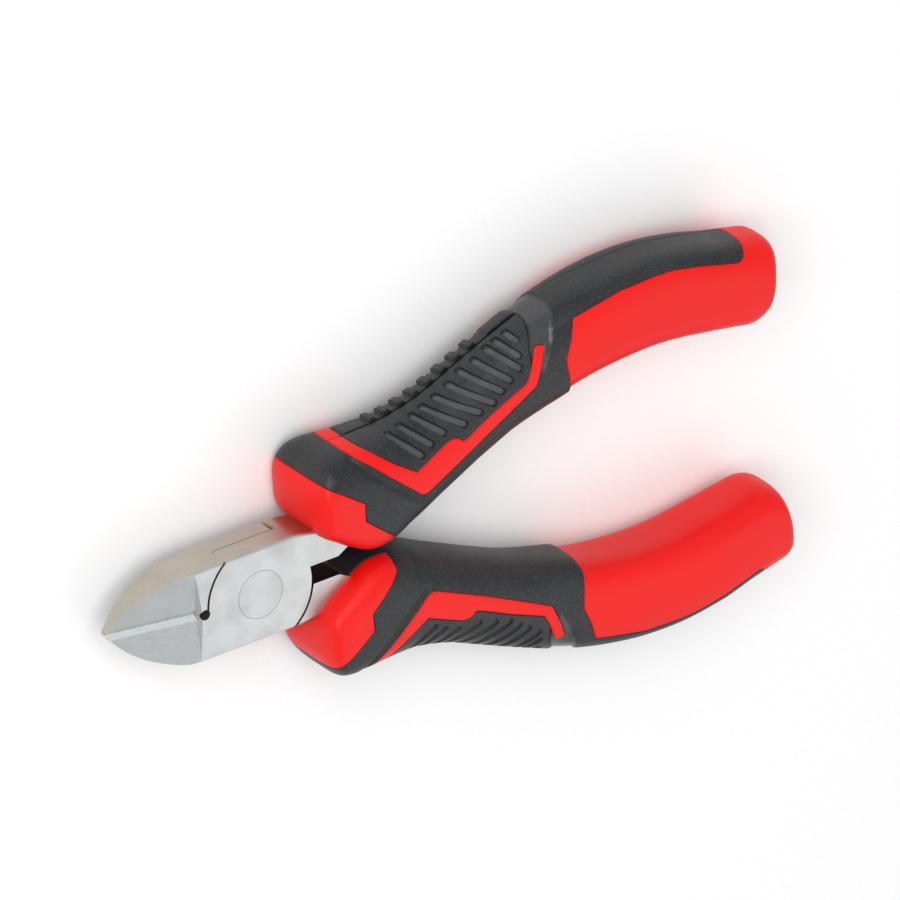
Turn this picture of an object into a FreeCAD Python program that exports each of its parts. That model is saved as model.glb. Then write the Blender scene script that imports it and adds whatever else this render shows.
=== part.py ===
import FreeCAD, Part
import math
import os
import Sketcher

# Compact diagonal cutting pliers, closed, lying flat.
# X runs from the jaws to the handle ends, +Y towards the upper handle, +Z out of the front face.
# The origin is on the pivot axis, in the plane of the head's back face.

Vector = FreeCAD.Vector

DIMENSIONS = {
    "head_thickness": 8.4,
    "head_half_width": 8.1,
    "disc_radius": 9.75,
    "socket_radius": 10.15,
    "lap_gap": 0.02,
    "edge_gap": 0.02,
    "tip_reach": 26.5,
    "rivet_radius": 4.1,
    "rivet_play": 0.03,
    "relief_radius": 0.9,
    "relief_offset": 10.5,
    "tang_gap": 3.3,
    "tang_thickness": 6.0,
    "tang_width": 5.6,
    "sleeve_wall": 1.2,
    "skin": 1.3,
    "spine_width": 3.2,
    "spine_start": 19.4,
    "spine_end": 52.0,
    "spine_floor": 15.0,
    "spine_reach": 20.0,
    "ridge_count": 8,
    "ridge_start": 26.1,
    "ridge_pitch": 2.8,
    "ridge_radius": 0.9,
    "ridge_height": 0.45,
    "edge_rear_z": 2.9,
    "edge_tip_z": -0.9,
    "facet_rise": 0.14,
    "bevel_rise": 0.8,
    "bevel_width": 0.9,
    "edge_land": 0.6,
    "relief_fall": 2.2,
    "facet_start": 11.9,
    "facet_run_out": 0.9,
    "bevel_start": 11.5,
    "jaw_wall_tilt": 10.0,
    "taper_start": 11.0,
    "taper_depth": 2.4,
    "front_round": 0.5,
    "back_round": 1.2,
}

# Lengthwise sections of a grip: x, inner edge y, outer edge y, half thickness, and fullness of the
# quarter curves (0.55 is an ellipse, 1 is square).
GRIP_STATIONS = [
    (6.0, 0.6, 19.6, 8.2, 0.76),
    (14.0, 0.55, 19.9, 8.4, 0.76),
    (21.0, 0.6, 20.0, 8.2, 0.74),
    (28.0, 1.8, 20.4, 7.8, 0.60),
    (35.0, 5.1, 22.2, 7.4, 0.585),
    (42.0, 8.3, 25.2, 7.0, 0.585),
    (49.0, 11.4, 28.1, 6.8, 0.615),
    (56.0, 14.1, 30.7, 6.6, 0.68),
    (63.0, 16.3, 32.0, 6.7, 0.78),
    (71.0, 17.6, 33.2, 6.8, 0.87),
    (79.0, 17.7, 33.3, 6.8, 0.87),
    (87.0, 16.6, 32.0, 6.8, 0.87),
    (95.0, 14.9, 29.9, 6.6, 0.81),
    (103.0, 13.0, 27.6, 6.2, 0.78),
]
LOW_SHARE = 0.42

# Plan curves of the handle's ends and of the moulded zones, upper handle, x and y.
NOSE_END = [(13.9, 22.0), (12.0, 19.3), (10.6, 17.65), (9.7, 15.0), (9.5, 12.0),
            (9.9, 9.0), (11.3, 6.6), (14.2, 4.5), (17.2, 2.5), (19.6, 1.0), (22.0, -0.5)]
TAIL_END = [(93.5, 11.0), (96.9, 13.6), (99.0, 16.0), (100.9, 21.0),
            (101.8, 25.6), (101.2, 28.8), (98.0, 33.0)]
NOSE_EDGE = [(24.6, -3.0), (23.9, 3.1), (18.3, 8.35), (18.3, 11.7), (10.5, 17.8), (6.0, 21.3)]
NOSE_FAR = [(6.0, 40.0), (-20.0, 40.0), (-20.0, -3.0)]
STRIPE = [(16.5, 20.1), (29.8, 9.0), (30.8, 8.9), (40.1, 13.1), (50.3, 18.3), (53.1, 20.1),
          (54.3, 23.4), (55.2, 26.5), (53.6, 26.6), (52.4, 24.2), (50.9, 20.9), (45.4, 18.25),
          (38.5, 15.25), (37.6, 16.1), (36.6, 16.35), (35.6, 16.05), (28.6, 13.25), (18.4, 21.8),
          (16.5, 23.4)]
PAD = [(28.6, 13.25), (35.6, 16.05), (36.6, 16.35), (37.6, 16.1), (38.5, 15.25), (45.4, 18.25),
       (50.9, 20.9), (52.4, 24.2), (52.6, 28.0), (51.4, 32.0), (18.4, 26.0), (18.4, 21.8)]
TAIL_EDGE = [(59.6, 8.0), (59.6, 17.6), (58.8, 22.4), (60.2, 25.6), (61.2, 29.3)]
TAIL_TOP = [(61.2, 29.3), (65.3, 30.3), (70.3, 31.1), (76.3, 31.5), (80.3, 31.3), (85.3, 30.6),
            (90.3, 29.1), (94.6, 28.0)]
TANG_AXIS = [(14.0, 5.6), (27.0, 9.9), (38.0, 15.3), (49.0, 20.2), (62.0, 24.0), (80.0, 25.3)]


def make_sheet(doc):
    """Spreadsheet of the driving dimensions, one alias per row."""
    sheet = doc.addObject("Spreadsheet::Sheet", "Dimensions")
    for row, (alias, value) in enumerate(DIMENSIONS.items(), start=1):
        sheet.set("A%d" % row, alias)
        sheet.set("B%d" % row, str(value))
        sheet.setAlias("B%d" % row, alias)
    doc.recompute()
    return sheet


def bind(feature, prop, formula):
    """Bind one property to the sheet; names in the formula are aliases."""
    feature.setExpression(prop, formula.replace("$", "Dimensions."))


def point(xy, z=0.0):
    return Vector(xy[0], xy[1], z)


def line(start, end):
    return Part.LineSegment(point(start), point(end))


def chain(points):
    return [line(a, b) for a, b in zip(points, points[1:])]


def loop(points):
    return chain(points + points[:1])


def smooth(points):
    curve = Part.BSplineCurve()
    curve.interpolate([point(p) for p in points])
    return curve


def arc_through(radius, start_deg, mid_deg, end_deg):
    """Arc about the pivot axis through three bearings."""
    ends = []
    for bearing in (start_deg, mid_deg, end_deg):
        angle = math.radians(bearing)
        ends.append(Vector(radius * math.cos(angle), radius * math.sin(angle), 0.0))
    return Part.Arc(*ends)


def interpolated(table, x, column):
    """Value of one station column at x, linear between stations."""
    for low, high in zip(table, table[1:]):
        if low[0] <= x <= high[0]:
            share = (x - low[0]) / (high[0] - low[0])
            return low[column] + share * (high[column] - low[column])
    return table[-1][column]


def origin_plane(body, role):
    return [plane for plane in body.Origin.OriginFeatures if plane.Role == role][0]


def body_sketch(body, name, curves, height=None):
    """Sketch on the body's XY plane, optionally lifted by a sheet formula."""
    sketch = body.newObject("Sketcher::SketchObject", name)
    sketch.AttachmentSupport = [(origin_plane(body, "XY_Plane"), "")]
    sketch.MapMode = "FlatFace"
    if height:
        bind(sketch, "AttachmentOffset.Base.z", height)
    for curve in curves:
        sketch.addGeometry(curve, False)
    return sketch


def circle_sketch(body, name, centre_formula, radius_formula, height=None):
    """Sketch of one circle on the X axis whose place and radius follow the sheet."""
    circle = Part.Circle(Vector(-1.0, 0.0, 0.0), Vector(0, 0, 1), 1.0)
    sketch = body_sketch(body, name, [circle], height)
    sketch.addConstraint(Sketcher.Constraint("Radius", 0, 1.0))
    bind(sketch, "Constraints[0]", radius_formula)
    if centre_formula:
        sketch.addConstraint(Sketcher.Constraint("DistanceX", 0, 3, -1, 1, 1.0))
        bind(sketch, "Constraints[1]", centre_formula)
        sketch.addConstraint(Sketcher.Constraint("PointOnObject", 0, 3, -1))
    else:
        sketch.addConstraint(Sketcher.Constraint("Coincident", 0, 3, -1, 1))
    return sketch


def add_pad(body, name, sketch, length, symmetric=False, length_back=None):
    pad = body.newObject("PartDesign::Pad", name)
    pad.Profile = sketch
    bind(pad, "Length", length)
    if symmetric:
        pad.SideType = "Symmetric"
    if length_back:
        pad.SideType = "Two sides"
        bind(pad, "Length2", length_back)
    return pad


def add_pocket(body, name, sketch, length, symmetric=False, reverse=False):
    pocket = body.newObject("PartDesign::Pocket", name)
    pocket.Profile = sketch
    bind(pocket, "Length", length)
    if symmetric:
        pocket.SideType = "Symmetric"
    pocket.Reversed = reverse
    return pocket


def tang_outline(half_width):
    """Closed outline of a strip along the tang axis, curved sides and square ends."""
    upper = []
    lower = []
    for index, here in enumerate(TANG_AXIS):
        before = TANG_AXIS[max(index - 1, 0)]
        after = TANG_AXIS[min(index + 1, len(TANG_AXIS) - 1)]
        along_x = after[0] - before[0]
        along_y = after[1] - before[1]
        length = math.hypot(along_x, along_y)
        side_x = -along_y / length * half_width
        side_y = along_x / length * half_width
        upper.append((here[0] + side_x, here[1] + side_y))
        lower.append((here[0] - side_x, here[1] - side_y))
    return [smooth(upper), line(upper[-1], lower[-1]), smooth(lower[::-1]), line(lower[0], upper[0])]


def head_outline(size):
    """Jaw, lap disc and the root of the tang: one closed outline at full head size."""
    disc = size["disc_radius"]
    half = size["head_half_width"]
    edge = size["edge_gap"] / 2
    gap = size["tang_gap"] / 2
    corner = math.degrees(math.asin(half / disc))
    cheek_x = disc * math.cos(math.radians(corner))
    tip = (-size["tip_reach"], -edge)
    rear = 180.0 + math.degrees(math.asin(edge / disc))
    front = math.degrees(math.asin(gap / disc))
    rear_point = (disc * math.cos(math.radians(rear)), -edge)
    front_point = (disc * math.cos(math.radians(front)), gap)
    jaw_flank = [(-11.5, -half), (-15.6, -7.55), (-18.2, -6.65), (-20.2, -5.75), (-22.4, -4.4),
                 (-24.2, -2.9), (-25.5, -1.4), tip]
    tang_top = [(6.5, half), (9.0, 7.9), (11.5, 7.5), (15.2, 8.4)]
    return [
        line(tip, rear_point),
        arc_through(disc, rear, 150.0, 180.0 - corner),
        line((-cheek_x, half), tang_top[0]),
        smooth(tang_top),
        line(tang_top[-1], (18.4, 3.6)),
        line((18.4, 3.6), (15.0, gap)),
        line((15.0, gap), front_point),
        arc_through(disc, front, -30.0, -corner),
        line((cheek_x, -half), jaw_flank[0]),
        smooth(jaw_flank),
    ]


def outer_edges(shape, size, face):
    """Names of the edges where one face of the head meets its outer sides."""
    names = []
    level = face * size["head_thickness"] / 2
    for number, edge in enumerate(shape.Edges, start=1):
        middle = edge.valueAt((edge.FirstParameter + edge.LastParameter) / 2)
        spots = [vertex.Point for vertex in edge.Vertexes] + [middle]
        on_face = all(abs(spot.z - level) < 0.01 for spot in spots)
        on_side = abs(middle.y) > size["head_half_width"] - 0.8
        on_jaw = middle.x < -size["facet_start"] and middle.y < -size["edge_gap"]
        if on_face and (on_side or on_jaw):
            names.append("Edge%d" % number)
    return names


def round_edges(body, name, base, edges, radius):
    rounding = body.newObject("PartDesign::Fillet", name)
    rounding.Base = (base, edges)
    bind(rounding, "Radius", radius)
    return rounding


def make_lever(doc, side, size, front):
    """Forged lever: lower jaw, front half of the lap joint and the tang in the upper grip."""
    body = doc.addObject("PartDesign::Body", side + "_lever_forging")
    outline = body_sketch(body, side + "_head_outline", head_outline(size))
    head = add_pad(body, side + "_head_pad", outline, "$head_thickness", symmetric=True)
    for face, radius in ((front, "$front_round"), (-front, "$back_round")):
        doc.recompute()
        head = round_edges(body, "%s_head_round_%d" % (side, face + 1), head,
                           outer_edges(head.Shape, size, face), radius)
    tang = body_sketch(body, side + "_tang_outline", tang_outline(size["tang_width"] / 2))
    add_pad(body, side + "_tang_pad", tang, "$tang_thickness", symmetric=True)
    doc.recompute()
    full_volume = body.Shape.Volume
    socket = circle_sketch(body, side + "_socket_outline", None, "$socket_radius", "$lap_gap / 2")
    add_pocket(body, side + "_socket", socket, "$head_thickness")
    rivet_hole = circle_sketch(body, side + "_rivet_hole_outline", None, "$rivet_radius + $rivet_play")
    add_pocket(body, side + "_rivet_hole", rivet_hole, "2 * $head_thickness", symmetric=True)
    relief = circle_sketch(body, side + "_relief_outline", "$relief_offset", "$relief_radius")
    add_pocket(body, side + "_relief", relief, "2 * $head_thickness", symmetric=True)
    doc.recompute()
    lap_volume = math.pi * size["socket_radius"] ** 2 * size["head_thickness"] / 2
    removed = full_volume - body.Shape.Volume
    assert 0.7 * lap_volume < removed < 1.5 * lap_volume, "lap pockets cut the wrong side"
    return body


def boolean(doc, kind, name, base, tool):
    feature = doc.addObject("Part::" + kind, name)
    feature.Base = base
    feature.Tool = tool
    return feature


def fuse(doc, name, shapes):
    feature = doc.addObject("Part::MultiFuse", name)
    feature.Shapes = shapes
    return feature


def facet_block(doc, name, size, corner, along, across, outward):
    """Box on the outward side of the plane through corner, spanned by two directions."""
    along.normalize()
    normal = along.cross(across)
    normal.normalize()
    if normal.dot(outward) < 0:
        normal = -normal
    side = normal.cross(along)
    block = doc.addObject("Part::Box", name)
    bind(block, "Length", "2.2 * $tip_reach")
    bind(block, "Width", "4 * $head_half_width")
    bind(block, "Height", "2 * $head_thickness")
    turn = FreeCAD.Rotation(along, side, normal, "ZXY")
    centred = Vector(-1.1 * size["tip_reach"], -2 * size["head_half_width"], 0)
    block.Placement = FreeCAD.Placement(corner + turn.multVec(centred), turn)
    return block


def jaw_limit(doc, name, size, start_x, face):
    """Block over the jaw whose rear wall leans back from the given face of the head."""
    limit = doc.addObject("Part::Box", name)
    bind(limit, "Length", "2 * $tip_reach")
    bind(limit, "Width", "2 * $head_half_width")
    bind(limit, "Height", "4 * $head_thickness")
    tilt = FreeCAD.Rotation(Vector(0, 1, 0), face * size["jaw_wall_tilt"])
    start = Vector(-start_x, 0, face * size["head_thickness"] / 2)
    reach = Vector(-2 * size["tip_reach"], -2 * size["head_half_width"], -2 * size["head_thickness"])
    limit.Placement = FreeCAD.Placement(start + tilt.multVec(reach), tilt)
    return limit


def jaw_cutters(doc, side, size, face):
    """Cutters for the jaw: on the given face a wide facet with a shallow run-out behind it and a
    narrow cutting bevel, on the other face the relief under the edge and the taper to the tip.
    The cutting edge runs at a slant through the thickness."""
    surface = face * size["head_thickness"] / 2
    rear = Vector(-size["relief_offset"], 0, face * size["edge_rear_z"])
    tip = Vector(-size["tip_reach"], 0, face * size["edge_tip_z"])
    along = tip - rear
    lift = Vector(0, 0, face * size["bevel_width"] * (size["bevel_rise"] - size["facet_rise"]))
    drop = Vector(0, 0, -face * size["edge_land"])
    up = Vector(0, 0, face)
    facet = facet_block(doc, side + "_jaw_facet", size, rear + lift, Vector(along),
                        Vector(0, -1, face * size["facet_rise"]), up)
    share = (size["facet_start"] - size["relief_offset"]) / (size["tip_reach"] - size["relief_offset"])
    hollow = rear + along * share + lift
    flank = Vector(-size["facet_start"], -size["head_half_width"], surface)
    behind_edge = Vector(-size["facet_start"] + size["facet_run_out"], 0, surface)
    run_out = facet_block(doc, side + "_jaw_run_out", size, flank, hollow - flank,
                          behind_edge - flank, up)
    bevel = facet_block(doc, side + "_jaw_bevel", size, Vector(rear), Vector(along),
                        Vector(0, -1, face * size["bevel_rise"]), up)
    relief = facet_block(doc, side + "_jaw_relief", size, rear + drop, Vector(along),
                         Vector(0, -1, -face * size["relief_fall"]), Vector(0, 1, 0))
    fall = Vector(size["taper_start"] - size["tip_reach"], 0, face * size["taper_depth"])
    taper = facet_block(doc, side + "_jaw_taper", size, Vector(-size["taper_start"], 0, -surface),
                        fall, Vector(0, 1, 0), -up)
    bevel_limit = jaw_limit(doc, side + "_bevel_limit", size, size["bevel_start"], face)
    relief_limit = jaw_limit(doc, side + "_relief_limit", size, size["facet_start"], -face)
    return fuse(doc, side + "_jaw_cutters", [
        boolean(doc, "Common", side + "_facet_cut", facet, run_out),
        boolean(doc, "Common", side + "_bevel_cut", bevel, bevel_limit),
        boolean(doc, "Common", side + "_relief_cut", relief, relief_limit),
        taper,
    ])


def grip_section(x, low, high, half_depth, fullness, inset=0.0):
    """Closed squared-oval wire of a grip in the plane at x: one cubic curve per quarter."""
    low += inset
    high -= inset
    half_depth -= inset
    middle = low + LOW_SHARE * (high - low)
    quarters = []
    for face, edge in ((1, 1), (-1, 1), (-1, -1), (1, -1)):
        rise = high - middle if edge > 0 else low - middle
        poles = [
            Vector(x, middle, face * half_depth),
            Vector(x, middle + rise * fullness, face * half_depth),
            Vector(x, middle + rise, face * half_depth * fullness),
            Vector(x, middle + rise, 0.0),
        ]
        if face * edge < 0:
            poles.reverse()
        curve = Part.BezierCurve()
        curve.setPoles(poles)
        quarters.append(curve.toShape())
    return Part.Wire(quarters)


def grip_loft(doc, name, inset=0.0):
    """Loft of the grip through its stations; inset gives the body under the moulded skin."""
    wires = [grip_section(*station, inset=inset) for station in GRIP_STATIONS]
    feature = doc.addObject("Part::Feature", name)
    feature.Shape = Part.makeLoft(wires, True, False)
    return feature


def prism(doc, name, curves, up="2 * $head_thickness", down="2 * $head_thickness"):
    """Plan outline extruded both ways from the mid-plane."""
    sketch = doc.addObject("Sketcher::SketchObject", name + "_outline")
    for curve in curves:
        sketch.addGeometry(curve, False)
    block = doc.addObject("Part::Extrusion", name + "_prism")
    block.Base = sketch
    block.DirMode = "Custom"
    block.Dir = Vector(0, 0, 1)
    block.Solid = True
    bind(block, "LengthFwd", up)
    bind(block, "LengthRev", down)
    return block


def handle_prisms(doc, side, size):
    """Plan prisms that divide the handle into its mouldings."""
    outline = [smooth(NOSE_END)] + chain([NOSE_END[-1], (20.0, -9.0), (88.0, -9.0), TAIL_END[0]])
    outline += [smooth(TAIL_END)] + chain([TAIL_END[-1], (98.0, 48.0), (13.9, 48.0), NOSE_END[0]])
    end = 115.0
    tail = chain(TAIL_EDGE) + [smooth(TAIL_TOP)] + chain(
        [TAIL_TOP[-1], (94.6, 45.0), (end, 45.0), (end, 8.0), TAIL_EDGE[0]])
    tail_spine = [smooth(TAIL_TOP)] + chain([TAIL_TOP[-1], (94.6, 45.0), (61.2, 45.0), TAIL_TOP[0]])
    full = "2 * $head_thickness"
    return {
        "outline": prism(doc, side + "_handle_plan", outline),
        "nose": prism(doc, side + "_nose_zone", loop(NOSE_EDGE + NOSE_FAR)),
        "tail": prism(doc, side + "_tail_zone", tail),
        "tail_spine": prism(doc, side + "_tail_spine_zone", tail_spine),
        "front_stripe": prism(doc, side + "_front_stripe_zone", loop(STRIPE), full, "0"),
        "back_stripe": prism(doc, side + "_back_stripe_zone", loop(STRIPE), "0", full),
        "front_pad": prism(doc, side + "_front_pad_zone", loop(PAD), full, "0"),
        "back_pad": prism(doc, side + "_back_pad_zone", loop(PAD), "0", full),
    }


def spine_zone(doc, side, base_z):
    """Block that bounds the ridged strip beside the crown of the grip."""
    block = doc.addObject("Part::Box", side + "_spine_zone")
    bind(block, "Length", "$spine_end - $spine_start")
    bind(block, "Width", "$spine_reach")
    bind(block, "Height", "$spine_width")
    bind(block, "Placement.Base.x", "$spine_start")
    bind(block, "Placement.Base.y", "$spine_floor")
    bind(block, "Placement.Base.z", base_z)
    return block


def spine_ridges(doc, side, size, base_z):
    """Row of round ridges across the strip."""
    ridges = []
    for index in range(int(size["ridge_count"])):
        x = size["ridge_start"] + index * size["ridge_pitch"]
        crown = interpolated(GRIP_STATIONS, x, 2)
        ridge = doc.addObject("Part::Cylinder", "%s_ridge_%d" % (side, index + 1))
        bind(ridge, "Radius", "$ridge_radius")
        bind(ridge, "Height", "$spine_width")
        ridge.Placement.Base = Vector(x, crown + size["ridge_height"] - size["ridge_radius"], 0)
        bind(ridge, "Placement.Base.z", base_z)
        ridges.append(ridge)
    return ridges


def make_handle(doc, side, faces, lever_solid, size):
    """All mouldings of one handle: returns node name to document object."""
    near, far = faces
    zones = handle_prisms(doc, side, size)
    solid = boolean(doc, "Common", side + "_grip_solid", grip_loft(doc, side + "_grip_loft"),
                    zones["outline"])
    inner = grip_loft(doc, side + "_grip_inner", size["skin"])
    skin = boolean(doc, "Cut", side + "_grip_skin", solid, inner)
    sleeve_half = size["tang_width"] / 2 + size["sleeve_wall"]
    sleeve_height = "$tang_thickness / 2 + $sleeve_wall"
    sleeve_block = prism(doc, side + "_sleeve", tang_outline(sleeve_half), sleeve_height, sleeve_height)

    nodes = {}
    nose = boolean(doc, "Common", side + "_nose_block", solid, zones["nose"])
    nodes[side + "_nose_guard"] = boolean(doc, "Cut", side + "_nose_guard", nose, lever_solid)
    tail = boolean(doc, "Common", side + "_tail_block", solid, zones["tail"])
    nodes[side + "_tail_shell"] = boolean(doc, "Cut", side + "_tail_shell", tail, lever_solid)
    nodes[side + "_tail_spine"] = boolean(doc, "Common", side + "_tail_spine", solid,
                                          zones["tail_spine"])
    base_z = "-$spine_width" if near == "front" else "0"
    spine = boolean(doc, "Common", side + "_spine_strip", skin, spine_zone(doc, side, base_z))
    nodes[side + "_ridged_spine"] = fuse(doc, side + "_ridged_spine",
                                         [spine] + spine_ridges(doc, side, size, base_z))
    for face, label in (("front", near), ("back", far)):
        for kind in ("stripe", "pad"):
            node = "%s_%s_%s" % (side, label, kind)
            block = boolean(doc, "Common", node + "_block", skin, zones["%s_%s" % (face, kind)])
            nodes[node] = boolean(doc, "Cut", node, block, nodes[side + "_ridged_spine"])

    ends = fuse(doc, side + "_end_zones", [zones["nose"], zones["tail"], zones["tail_spine"]])
    middle = boolean(doc, "Cut", side + "_grip_middle", solid, ends)
    sleeve = boolean(doc, "Common", side + "_sleeve_block", middle, sleeve_block)
    nodes[side + "_core_sleeve"] = boolean(doc, "Cut", side + "_core_sleeve", sleeve, lever_solid)
    trims = [sleeve_block, nodes[side + "_ridged_spine"]]
    trims += [nodes["%s_%s_%s" % (side, label, kind)] for label in faces for kind in ("stripe", "pad")]
    nodes[side + "_soft_grip"] = boolean(doc, "Cut", side + "_soft_grip", middle,
                                         fuse(doc, side + "_grip_trims", trims))
    return nodes


def make_rivet(doc, size):
    """Pivot rivet, flush with both faces of the head."""
    body = doc.addObject("PartDesign::Body", "pivot_rivet_body")
    outline = circle_sketch(body, "rivet_outline", None, "$rivet_radius")
    add_pad(body, "rivet_shank", outline, "$head_thickness", symmetric=True)
    return body


def check(doc):
    """Stop on any failed feature or invalid shape."""
    for feature in doc.Objects:
        if "Invalid" in feature.State or "Error" in feature.State:
            raise RuntimeError("%s failed: %s" % (feature.Name, feature.State))


def place(doc, node, feature, turn_deg):
    """The sub-part itself: its shape turned about X and lifted so that Z = 0 is the head's back."""
    feature.Label = node + "_unplaced"
    placed = doc.addObject("Part::Compound", node + "_placed")
    placed.Label = node
    placed.Links = [feature]
    placed.Placement = FreeCAD.Placement(Vector(0, 0, 0), FreeCAD.Rotation(Vector(1, 0, 0), turn_deg))
    bind(placed, "Placement.Base.z", "$head_thickness / 2")
    return placed


def main():
    doc = FreeCAD.newDocument("diagonal_cutting_pliers")
    sheet = make_sheet(doc)
    size = {alias: float(sheet.get(alias)) for alias in DIMENSIONS}
    parts = [place(doc, "pivot_rivet", make_rivet(doc, size), 0)]
    # The lower half is the upper half turned over, with its jaw ground on the other face.
    for side, faces, ground_face, turn_deg in (("upper", ("front", "back"), 1, 0),
                                               ("lower", ("back", "front"), -1, 180)):
        lever = boolean(doc, "Cut", side + "_lever", make_lever(doc, side, size, ground_face),
                        jaw_cutters(doc, side, size, ground_face))
        nodes = make_handle(doc, side, faces, lever, size)
        nodes[side + "_lever"] = lever
        parts += [place(doc, node, feature, turn_deg) for node, feature in nodes.items()]
    doc.recompute()
    check(doc)

    os.makedirs("parts", exist_ok=True)
    for part in parts:
        if part.Shape.isNull() or not part.Shape.isValid() or len(part.Shape.Solids) != 1:
            raise RuntimeError("%s is not one valid solid" % part.Label)
        solid = part.Shape.Solids[0]
        print("%-22s volume %9.2f" % (part.Label, solid.Volume))
        solid.exportStep("parts/%s.step" % part.Label)


main()
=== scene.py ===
import math

import bpy
import numpy as np
from mathutils import Matrix, Vector


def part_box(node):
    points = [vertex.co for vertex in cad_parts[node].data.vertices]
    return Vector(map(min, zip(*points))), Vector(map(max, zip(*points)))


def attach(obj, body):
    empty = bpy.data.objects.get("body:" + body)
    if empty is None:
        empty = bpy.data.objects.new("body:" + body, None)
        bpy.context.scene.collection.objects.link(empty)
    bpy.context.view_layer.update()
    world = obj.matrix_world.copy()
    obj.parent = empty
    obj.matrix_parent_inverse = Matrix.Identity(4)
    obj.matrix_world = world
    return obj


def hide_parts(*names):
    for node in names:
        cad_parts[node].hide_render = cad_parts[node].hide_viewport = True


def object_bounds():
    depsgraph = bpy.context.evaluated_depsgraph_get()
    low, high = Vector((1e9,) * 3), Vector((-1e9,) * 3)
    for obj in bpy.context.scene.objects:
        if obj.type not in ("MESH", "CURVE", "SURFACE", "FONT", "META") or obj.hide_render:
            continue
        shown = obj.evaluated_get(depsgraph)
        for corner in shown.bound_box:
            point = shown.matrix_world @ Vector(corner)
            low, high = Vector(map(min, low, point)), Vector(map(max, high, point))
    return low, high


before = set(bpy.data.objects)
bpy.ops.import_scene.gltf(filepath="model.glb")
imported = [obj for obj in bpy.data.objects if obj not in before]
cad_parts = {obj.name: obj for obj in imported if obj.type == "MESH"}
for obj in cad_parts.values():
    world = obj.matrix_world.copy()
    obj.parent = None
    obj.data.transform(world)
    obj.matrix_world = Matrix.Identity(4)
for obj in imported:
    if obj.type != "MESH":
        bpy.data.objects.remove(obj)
CAD_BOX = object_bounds()
MM = 0.001
# Keeps a division away from zero.
TINY = 1e-9
# Share of the full number of points along and around a grip.
DETAIL = 0.6

# The grips are worked out in millimetres about the head's mid-plane, for the upper handle.
HEAD_BACK, HEAD_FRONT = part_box("pivot_rivet")
MID_Z = (HEAD_BACK.z + HEAD_FRONT.z) / 2 / MM

# ---------------------------------------------------------------- grip surface

# Inner and outer plan edges from the nose apex to the tail apex, x and y.
INNER_EDGE = [(9.9, 12.2), (10.2, 9.0), (11.5, 6.5), (14.2, 4.5), (17.2, 2.5), (20.3, 1.0),
              (24.5, 0.95), (28.0, 1.9), (35.0, 5.1), (42.0, 8.3), (49.0, 11.4), (56.0, 14.1),
              (63.0, 16.3), (71.0, 17.6), (79.0, 17.7), (87.0, 16.6), (92.5, 15.45), (96.3, 14.75),
              (98.9, 15.9), (100.9, 21.0), (101.7, 25.6)]
OUTER_EDGE = [(9.9, 12.2), (10.15, 14.8), (11.4, 17.5), (12.9, 19.2), (15.0, 19.9), (18.0, 19.95),
              (21.0, 20.0), (28.0, 20.5), (35.0, 22.2), (42.0, 25.2), (49.0, 28.1), (56.0, 30.6),
              (63.0, 32.2), (71.0, 33.15), (79.0, 33.2), (87.0, 32.0), (93.0, 30.6), (97.0, 29.9),
              (99.9, 29.2), (101.3, 27.9), (101.7, 25.6)]
# Half thickness, and the power that squares the section, by x of the middle line.
DEPTHS = [(9.5, 8.2), (14.0, 8.4), (21.0, 8.2), (28.0, 7.8), (35.0, 7.4), (42.0, 7.0), (49.0, 6.8),
          (56.0, 6.6), (63.0, 6.7), (71.0, 6.8), (79.0, 6.8), (87.0, 6.8), (95.0, 6.5), (102.0, 5.8)]
SQUARENESS = [(9.5, 3.8), (14.0, 3.8), (21.0, 3.4), (28.0, 2.4), (35.0, 2.25), (42.0, 2.25),
              (49.0, 2.4), (56.0, 2.8), (63.0, 3.3), (71.0, 3.8), (87.0, 3.7), (95.0, 3.1),
              (102.0, 2.7)]
# The middle line lies at this share of the way from the inner edge to the outer one.
LOW_SHARE = 0.42
# Length and power of the curve that closes the thickness at each end.
NOSE_BLUNT = (2.4, 2.5)
TAIL_BLUNT = (2.8, 2.5)

# Rings from one plan point to the next, and points on a quarter of a ring, at full detail.
RING_STEPS = (16, 16, 14, 12, 16, 16, 16, 24, 24, 24, 24, 22, 18, 14, 14, 12, 12, 14, 14, 16)
QUARTER_STEPS = 52
# Samples along a quarter of a ring from which its length is worked out.
QUARTER_SAMPLES = 400
# Shares of the rails at which the first two rings lie, and the last two from the other end.
END_STATIONS = np.array([0.0008, 0.003])


def between(at, low, high, first, second):
    """Straight blend from first at low to second at high."""
    return (high - at) / (high - low) * first + (at - low) / (high - low) * second


def spline(points, count_per_span=40):
    """Dense centripetal Catmull-Rom curve through plan points."""
    given = np.array(points, float)
    controls = np.vstack([2 * given[0] - given[1], given, 2 * given[-1] - given[-2]])
    curve = []
    for i in range(1, len(controls) - 2):
        around = controls[i - 1:i + 3]
        knots = [0.0]
        for start, end in zip(around, around[1:]):
            knots.append(knots[-1] + np.linalg.norm(end - start) ** 0.5)
        at = np.linspace(knots[1], knots[2], count_per_span, endpoint=False)[:, None]
        legs = [between(at, knots[k], knots[k + 1], around[k], around[k + 1]) for k in range(3)]
        bends = [between(at, knots[k], knots[k + 2], legs[k], legs[k + 1]) for k in range(2)]
        curve.append(between(at, knots[1], knots[2], *bends))
    curve.append(controls[-2][None])
    return np.vstack(curve)


def table(points, x):
    """Value at each x of a table of x and value."""
    columns = np.array(points, float)
    return np.interp(x, columns[:, 0], columns[:, 1])


def rail_at(points, stations):
    """Points of a plan edge at shares of its way; each span of plan points is an equal share."""
    dense = spline(points)
    index = stations * (len(dense) - 1)
    low = np.clip(np.floor(index).astype(int), 0, len(dense) - 2)
    part = (index - low)[:, None]
    return dense[low] * (1 - part) + dense[low + 1] * part


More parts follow.
